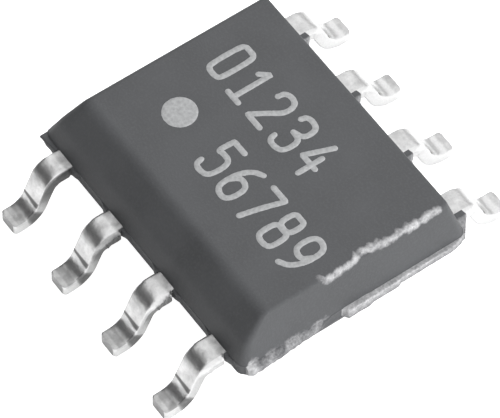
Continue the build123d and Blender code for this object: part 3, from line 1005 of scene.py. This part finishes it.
def lead_dullness_and_shade(lead, side, out, body_out):
    """How dull the tin is along a lead: by the moulding and on the foot, and less on the far row; the near row is also
    painted a step darker all along as painted shade.
    """
    toe = lead.span / 2
    if side > 0:
        shoulder = 1 - smooth_step(body_out + 0.22 * MM, body_out + 0.36 * MM, out)
        return max(0.42 * shoulder, 0.50 * smooth_step(toe - 0.16 * MM, toe - 0.08 * MM, out))
    root = 1 - smooth_step(body_out + 0.08 * MM, body_out + 0.20 * MM, out)
    foot = smooth_step(toe - 0.30 * MM, toe - 0.20 * MM, out)
    foot *= 1 - 0.25 * smooth_step(toe - 0.09 * MM, toe - 0.06 * MM, out)
    knee = smooth_step(body_out + 0.34 * MM, body_out + 0.38 * MM, out)
    knee *= 1 - smooth_step(body_out + 0.40 * MM, body_out + 0.46 * MM, out)
    # The floor of 0.36 is painted shade that darkens the whole near row against the far row.
    return max(0.84 * foot, 0.68 * root, 0.60 * knee, 0.36)


def add_plate(surface, low, high, hole, hole_radius, bottom, top):
    """A flat plate with a round hole, from a low to a high corner in plan."""
    corners = [(high[0], high[1]), (low[0], high[1]), (low[0], low[1]), (high[0], low[1])]
    angles = sorted(
        [math.atan2(y - hole[1], x - hole[0]) for x, y in corners]
        + [k / 32 * 2 * math.pi - math.pi + 0.01 for k in range(32)])
    outer, inner = [], []
    for angle in angles:
        c, s = math.cos(angle), math.sin(angle)
        reach_x = ((high[0] if c > 0 else low[0]) - hole[0]) / c if abs(c) > 1e-9 else 1.0
        reach_y = ((high[1] if s > 0 else low[1]) - hole[1]) / s if abs(s) > 1e-9 else 1.0
        reach = min(reach_x, reach_y)
        outer.append((hole[0] + c * reach, hole[1] + s * reach))
        inner.append((hole[0] + c * hole_radius, hole[1] + s * hole_radius))
    rows = [surface.ring([(x, y, z) for x, y in row]) for row, z in (
        (outer, bottom), (outer, top), (inner, top), (inner, bottom))]
    for first, second in zip(rows, rows[1:] + rows[:1]):
        surface.bridge(first, second)


def add_finger(surface, lead, index, side, neck_out, body_out):
    """The flat finger of a lead inside the moulding, with its anchor hole."""
    centre_x = lead_x(index, lead.pitch)
    outward = 1 if centre_x > 0 else -1
    if index in (0, LEADS_PER_SIDE - 1):
        xs = sorted((outward * 1.55 * MM, centre_x + outward * lead.width / 2))
        tip = 0.40 * MM
    else:
        xs = (centre_x - 0.30 * MM, centre_x + 0.30 * MM)
        tip = 1.15 * MM
    ys = sorted((side * tip, side * neck_out))
    hole = (centre_x, side * (body_out - 0.52 * MM))
    add_plate(surface, (xs[0], ys[0]), (xs[1], ys[1]), hole, 0.10 * MM, lead.rise, lead.rise + lead.thickness)


class CHIP_OT_leads(bpy.types.Operator):
    """Build the eight gull-wing leads with their fingers inside the moulding"""

    bl_idname = "chip.make_leads"
    bl_label = "Leads"

    def execute(self, context):
        lead = context.scene.chip_lead
        body_out = context.scene.chip_moulding.width / 2
        neck_out = body_out - 0.34 * MM
        tin = tin_finish(lead)
        for side, first_pin in ((-1, 1), (1, 2 * LEADS_PER_SIDE)):
            for index in range(LEADS_PER_SIDE):
                surface = Surface()
                flank_shade_and_stub = NEAR_FLANK_SHADE_AND_STUB[index] if side < 0 else FAR_FLANK_SHADE_AND_STUB
                lead_blade(surface, lead, lead_x(index, lead.pitch), side, neck_out, body_out, flank_shade_and_stub)
                add_finger(surface, lead, index, side, neck_out, body_out)
                pin = first_pin - side * index
                made = mesh_object(f"gull_wing_lead_{pin}", surface)
                made.data.materials.append(tin)
                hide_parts(f"lead_{pin}")
                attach(made, "root")
        return {"FINISHED"}


# Marking

DIGITS = {
    "0": [([(0.5, 1), (0.12, 1), (0, 0.84), (0, 0.16), (0.12, 0), (0.88, 0), (1, 0.16), (1, 0.84), (0.88, 1)], True)],
    "1": [([(0.12, 0.80), (0.52, 1), (0.52, 1), (0.52, 0)], False), ([(0.10, 0), (0.94, 0)], False)],
    "2": [([(0, 0.80), (0.06, 0.97), (0.50, 1.04), (0.98, 0.96), (1.04, 0.66), (0.55, 0.38),
            (0, 0), (0, 0), (1, 0)], False)],
    "3": [([(0, 0.86), (0.10, 1), (0.55, 1.03), (1.0, 0.96), (1.02, 0.62), (0.42, 0.53)], False),
          ([(0.42, 0.53), (1.06, 0.50), (1.06, 0.06), (0.55, -0.03), (0.08, 0), (0, 0.15)], False)],
    "4": [([(0.60, 1), (0, 0.34), (0, 0.34), (1.04, 0.34)], False), ([(0.74, 0.62), (0.74, 0)], False)],
    "5": [([(0.96, 1), (0.10, 1), (0.10, 1), (0.04, 0.58), (0.30, 0.64), (1.04, 0.62), (1.04, 0.06),
            (0.55, -0.03), (0.08, 0), (0, 0.16)], False)],
    "6": [([(0.84, 1), (0.34, 0.88), (0, 0.55), (0, 0.10), (0.35, -0.02), (0.80, -0.02), (1.02, 0.14),
            (1.02, 0.44), (0.80, 0.56), (0.30, 0.58), (0.04, 0.36)], False)],
    "7": [([(0, 1), (1, 1), (1, 1), (0.62, 0.50), (0.34, 0)], False)],
    "8": [([(0.5, 1), (0.14, 1), (0.06, 0.80), (0.14, 0.56), (0.86, 0.56), (0.94, 0.80), (0.86, 1)], True),
          ([(0.5, 0.54), (0.06, 0.54), (-0.02, 0.28), (0.06, 0), (0.94, 0), (1.02, 0.28), (0.94, 0.54)], True)],
    "9": [([(0.16, 0), (0.66, 0.12), (1, 0.45), (1, 0.90), (0.65, 1.02), (0.20, 1.02), (-0.02, 0.86),
            (-0.02, 0.56), (0.20, 0.44), (0.70, 0.42), (0.96, 0.64)], False)],
}
MARKING_ROWS = (
    ("01234", (-1.47 * MM, 0.31 * MM), 0.510 * MM),
    ("56789", (-0.20 * MM, -0.785 * MM), 0.495 * MM),
)
DOT_CENTRE = (-1.18 * MM, -0.46 * MM)


def rounded_line(points, closed, passes=3):
    """Cuts the corners of a line again and again until it runs smoothly."""
    for _ in range(passes):
        cut = [] if closed else [points[0]]
        pairs = list(zip(points, points[1:] + points[:1] if closed else points[1:]))
        for (ax, ay), (bx, by) in pairs:
            cut.append((ax * 0.75 + bx * 0.25, ay * 0.75 + by * 0.25))
            cut.append((ax * 0.25 + bx * 0.75, ay * 0.25 + by * 0.75))
        if not closed:
            cut.append(points[-1])
        points = cut
    kept = [points[0]]
    for point in points[1:]:
        if math.dist(point, kept[-1]) > 1e-4:
            kept.append(point)
    return kept


def add_stroke(surface, points, closed, stroke, level, relief):
    """A raised ribbon along a line, with round ends and slightly ragged edges."""
    count = len(points)
    stations = []
    for i, point in enumerate(points):
        before = points[i - 1] if i or closed else point
        after = points[(i + 1) % count] if i < count - 1 or closed else point
        length = math.dist(before, after)
        along = ((after[0] - before[0]) / length, (after[1] - before[1]) / length)
        stations.append((point, along, 1.0))
    if not closed:
        stations = round_end(stations[0], -1, stroke) + stations + round_end(stations[-1], 1, stroke)
    rows = []
    for point, along, share in stations:
        ragged = 1 + 0.10 * ripple((*point, 0), 0.045 * MM, 4.1)
        half = stroke / 2 * share * ragged
        row = []
        for across, lift in ((-1, -0.5), (-0.82, 0.8), (0, 1), (0.82, 0.8), (1, -0.5)):
            row.append((
                point[0] - along[1] * across * half,
                point[1] + along[0] * across * half,
                level + relief * lift * (share if share < 1 else 1)))
        rows.append(surface.ring(row))
    pairs = list(zip(rows, rows[1:] + rows[:1])) if closed else list(zip(rows, rows[1:]))
    for first, second in pairs:
        for k in range(4):
            surface.faces.append((first[k], first[k + 1], second[k + 1], second[k]))


def round_end(station, direction, stroke):
    """Stations past the end of a line that close it with a half circle."""
    point, along, _ = station
    added = []
    for k in range(1, 7):
        angle = k / 6 * math.pi / 2
        reach = direction * stroke / 2 * math.sin(angle)
        place = (point[0] + along[0] * reach, point[1] + along[1] * reach)
        added.append((place, along, max(math.cos(angle), 0.02)))
    return added if direction > 0 else added[::-1]


def add_dot(surface, centre, radius, level, relief):
    """A round raised dot with a slightly ragged rim."""
    rings = []
    for share, lift in ((1.0, -0.5), (0.95, 0.8), (0.8, 1.0), (0.4, 1.0)):
        ring = []
        for k in range(72):
            angle = k / 72 * 2 * math.pi
            place = (math.cos(angle), math.sin(angle), 0)
            size = radius * share * (1 + 0.02 * ripple(place, 0.2, 5.0))
            ring.append((centre[0] + place[0] * size, centre[1] + place[1] * size, level + relief * lift))
        rings.append(surface.ring(ring))
    for first, second in zip(rings, rings[1:]):
        surface.bridge(first, second)
    surface.cap(rings[-1])


class CHIP_OT_marking(bpy.types.Operator):
    """Mark the top with plain digits and a round dot"""

    bl_idname = "chip.mark_top"
    bl_label = "Top marking"

    def execute(self, context):
        marking = context.scene.chip_marking
        form = MouldingForm(context.scene.chip_moulding, context.scene.chip_lead)
        surface = Surface()
        for digits, (start_x, base_y), pitch in MARKING_ROWS:
            for place, digit in enumerate(digits):
                left = start_x + place * pitch - marking.digit_width / 2
                for number, (points, closed) in enumerate(DIGITS[digit]):
                    line = [
                        (left + x * marking.digit_width, base_y + y * marking.digit_height)
                        for x, y in rounded_line(points, closed)]
                    relief = marking.relief * (1 + 0.25 * number)
                    add_stroke(surface, line, closed, marking.stroke, form.top, relief)
        add_dot(surface, DOT_CENTRE, marking.dot_radius, form.top, marking.relief)
        made = mesh_object("top_marking", surface)
        made.data.materials.append(marking_finish(marking))
        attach(made, "root")
        return {"FINISHED"}


# Inner pieces


class CHIP_OT_inner_pieces(bpy.types.Operator):
    """Finish the paddle, adhesive, die and bond wires inside the moulding"""

    bl_idname = "chip.finish_inner_pieces"
    bl_label = "Inner pieces"

    def execute(self, context):
        gold = gold_finish()
        half_length = context.scene.chip_moulding.length / 2
        finishes = {"die_pad": copper_finish(half_length), "die_attach": adhesive_finish(), "die": silicon_finish()}
        for name in INNER_NODES:
            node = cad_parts[name]
            node.data.materials.clear()
            node.data.materials.append(finishes.get(name, gold))
        return {"FINISHED"}


# Stage


def lamp(name, place, aim, size, power, colour=(1, 1, 1)):
    """A soft rectangular lamp that faces its aim."""
    data = bpy.data.lights.new(name, "AREA")
    data.shape = "RECTANGLE"
    data.size, data.size_y = size
    data.energy = power
    data.color = colour
    made = bpy.data.objects.new(name, data)
    made.visible_glossy = False
    made.location = place
    made.rotation_mode = "QUATERNION"
    made.rotation_quaternion = (Vector(aim) - Vector(place)).to_track_quat("-Z", "Y")
    bpy.context.scene.collection.objects.link(made)
    return made


def seen_by_eye_or_gloss(tree):
    """1 for rays from the camera, a reflection or glass, and 0 for light on the object."""
    path = tree.nodes.new("ShaderNodeLightPath")
    total = path.outputs["Is Camera Ray"]
    for key in ("Is Glossy Ray", "Is Transmission Ray"):
        larger = tree.nodes.new("ShaderNodeMath")
        larger.operation = "MAXIMUM"
        tree.links.new(total, larger.inputs[0])
        tree.links.new(path.outputs[key], larger.inputs[1])
        total = larger.outputs["Value"]
    return total


def set_world(ambient):
    """White to the camera and in reflections, and a plain soft light on the object."""
    world = bpy.data.worlds.new("studio")
    world.use_nodes = True
    tree = world.node_tree
    seen = seen_by_eye_or_gloss(tree)
    level = tree.nodes.new("ShaderNodeMapRange")
    level.inputs["To Min"].default_value = ambient
    level.inputs["To Max"].default_value = 1.0
    tree.links.new(seen, level.inputs["Value"])
    background = tree.nodes["Background"]
    background.inputs["Color"].default_value = (1, 1, 1, 1)
    tree.links.new(level.outputs["Result"], background.inputs["Strength"])
    bpy.context.scene.world = world


def floor_finish():
    """A pale floor that reads white where it is lit and keeps the shadow of the object."""
    material = bpy.data.materials.new("pale_floor")
    material.use_nodes = True
    tree = material.node_tree
    shader = tree.nodes["Principled BSDF"]
    shader.inputs["Base Color"].default_value = (0.80, 0.80, 0.80, 1)
    shader.inputs["Roughness"].default_value = 0.9
    shader.inputs["Specular IOR Level"].default_value = 0.0
    glow = tree.nodes.new("ShaderNodeEmission")
    level = tree.nodes.new("ShaderNodeMath")
    level.operation = "MULTIPLY_ADD"
    level.inputs[1].default_value = 0.24
    tree.links.new(seen_by_eye_or_gloss(tree), level.inputs[0])
    eye = tree.nodes.new("ShaderNodeMath")
    eye.operation = "MULTIPLY"
    eye.inputs[1].default_value = 0.70
    tree.links.new(tree.nodes["Light Path"].outputs["Is Camera Ray"], eye.inputs[0])
    tree.links.new(eye.outputs["Value"], level.inputs[2])
    tree.links.new(level.outputs["Value"], glow.inputs["Strength"])
    both = tree.nodes.new("ShaderNodeAddShader")
    tree.links.new(shader.outputs["BSDF"], both.inputs[0])
    tree.links.new(glow.outputs["Emission"], both.inputs[1])
    tree.links.new(both.outputs["Shader"], tree.nodes["Material Output"].inputs["Surface"])
    return material


def disc(name, radius, level, segments=96):
    """A flat disc of faces round its middle."""
    surface = Surface()
    rings = []
    for share in (1.0, 0.3, 0.1, 0.03):
        rings.append(surface.ring([
            (radius * share * math.cos(k / segments * 2 * math.pi),
             radius * share * math.sin(k / segments * 2 * math.pi), level)
            for k in range(segments)]))
    for first, second in zip(rings, rings[1:]):
        surface.bridge(first, second)
    surface.cap(rings[-1])
    return mesh_object(name, surface)


def reflector_card(name, radius, azimuths, levels):
    """A curved glowing sheet round the set, not a lamp, that shows only in the bright metal as a painted reflection,
    with its glow level by height in degrees.
    """
    surface = Surface()
    columns, rows = 40, 30
    low, high = levels[0][0], levels[-1][0]
    for j in range(rows + 1):
        degrees = low + (high - low) * j / rows
        height = math.radians(degrees)
        row = []
        for i in range(columns + 1):
            turn = math.radians(azimuths[0] + (azimuths[1] - azimuths[0]) * i / columns)
            flat = radius * math.cos(height)
            row.append((flat * math.cos(turn), flat * math.sin(turn), radius * math.sin(height)))
        surface.ring(row, level_at(levels, degrees))
    for j in range(rows):
        for i in range(columns):
            corner = j * (columns + 1) + i
            surface.faces.append((corner, corner + 1, corner + columns + 2, corner + columns + 1))
    made = mesh_object(name, surface)
    card = Finish(name)
    made.data.materials.append(card.surface(
        Base_Color=(0, 0, 0, 1), Specular_IOR_Level=0.0, Emission_Color=(1, 1, 1, 1), Emission_Strength=card.wear_and_shading()))
    made.visible_camera = False
    made.visible_diffuse = False
    made.visible_shadow = False
    return made


def level_at(levels, degrees):
    """The level at a height, from a list of heights and levels."""
    for (low, first), (high, second) in zip(levels, levels[1:]):
        if degrees <= high:
            return first + (second - first) * (degrees - low) / (high - low)
    return levels[-1][1]


class CHIP_OT_stage(bpy.types.Operator):
    """Set the camera, the pale floor and the soft lamps"""

    bl_idname = "chip.set_stage"
    bl_label = "Stage"

    def execute(self, context):
        stage = context.scene.chip_stage
        floor = disc("pale_floor", stage.floor_radius, 0.0)
        floor.data.materials.append(floor_finish())
        # Glowing sheets seen only in the metal: painted reflections of a dark surround and of a grey card.
        reflector_card(
            "dark_reflection_card", 60 * MM, (172, 300), ((0.2, 0.22), (10, 0.12), (25, 0.09), (48, 0.09), (58, 0.33), (64, 0.9)))
        reflector_card("grey_reflection_card", 60 * MM, (75, 150), ((2, 0.50), (26, 0.50)))
        aim = (0, 0, 0.8 * MM)
        lamp("overhead_softbox", (-14 * MM, 22 * MM, 46 * MM), aim, (44 * MM, 44 * MM), 0.020)
        lamp("side_softbox", (46 * MM, 10 * MM, 16 * MM), aim, (40 * MM, 26 * MM), 0.027)
        set_world(stage.ambient)
        self.set_camera(stage)
        context.scene.view_settings.view_transform = "Standard"
        return {"FINISHED"}

    def set_camera(self, stage):
        """Place the camera by its direction and distance from its aim."""
        data = bpy.data.cameras.new("camera")
        data.lens = stage.lens
        data.clip_start, data.clip_end = 1 * MM, 2.0
        camera = bpy.data.objects.new("camera", data)
        level = math.cos(stage.elevation)
        back = Vector((
            math.sin(stage.azimuth) * level, -math.cos(stage.azimuth) * level, math.sin(stage.elevation)))
        turn = (-back).to_track_quat("-Z", "Y").to_matrix() @ Matrix.Rotation(stage.roll, 3, "Z")
        camera.matrix_world = Matrix.LocRotScale(Vector(stage.aim) + back * stage.distance, turn, None)
        bpy.context.scene.collection.objects.link(camera)
        bpy.context.scene.camera = camera


class CHIP_PT_panel(bpy.types.Panel):
    """The steps of the build"""

    bl_idname = "CHIP_PT_panel"
    bl_label = "Chip package"
    bl_space_type = "VIEW_3D"
    bl_region_type = "UI"
    bl_category = "Chip"

    def draw(self, context):
        for operator in OPERATORS:
            self.layout.operator(operator.bl_idname)


OPERATORS = (CHIP_OT_moulding, CHIP_OT_leads, CHIP_OT_marking, CHIP_OT_inner_pieces, CHIP_OT_stage)
SETTINGS = {
    "chip_moulding": MouldingSettings,
    "chip_lead": LeadSettings,
    "chip_marking": MarkingSettings,
    "chip_stage": StageSettings,
}


def register():
    for kind in (*SETTINGS.values(), *OPERATORS, CHIP_PT_panel):
        bpy.utils.register_class(kind)
    for name, kind in SETTINGS.items():
        setattr(bpy.types.Scene, name, PointerProperty(type=kind))


def unregister():
    for name in SETTINGS:
        delattr(bpy.types.Scene, name)
    for kind in reversed((*SETTINGS.values(), *OPERATORS, CHIP_PT_panel)):
        bpy.utils.unregister_class(kind)


def main():
    register()
    bpy.ops.chip.make_moulding()
    bpy.ops.chip.make_leads()
    bpy.ops.chip.mark_top()
    bpy.ops.chip.finish_inner_pieces()
    bpy.ops.chip.set_stage()


if __name__ == "__main__":
    main()
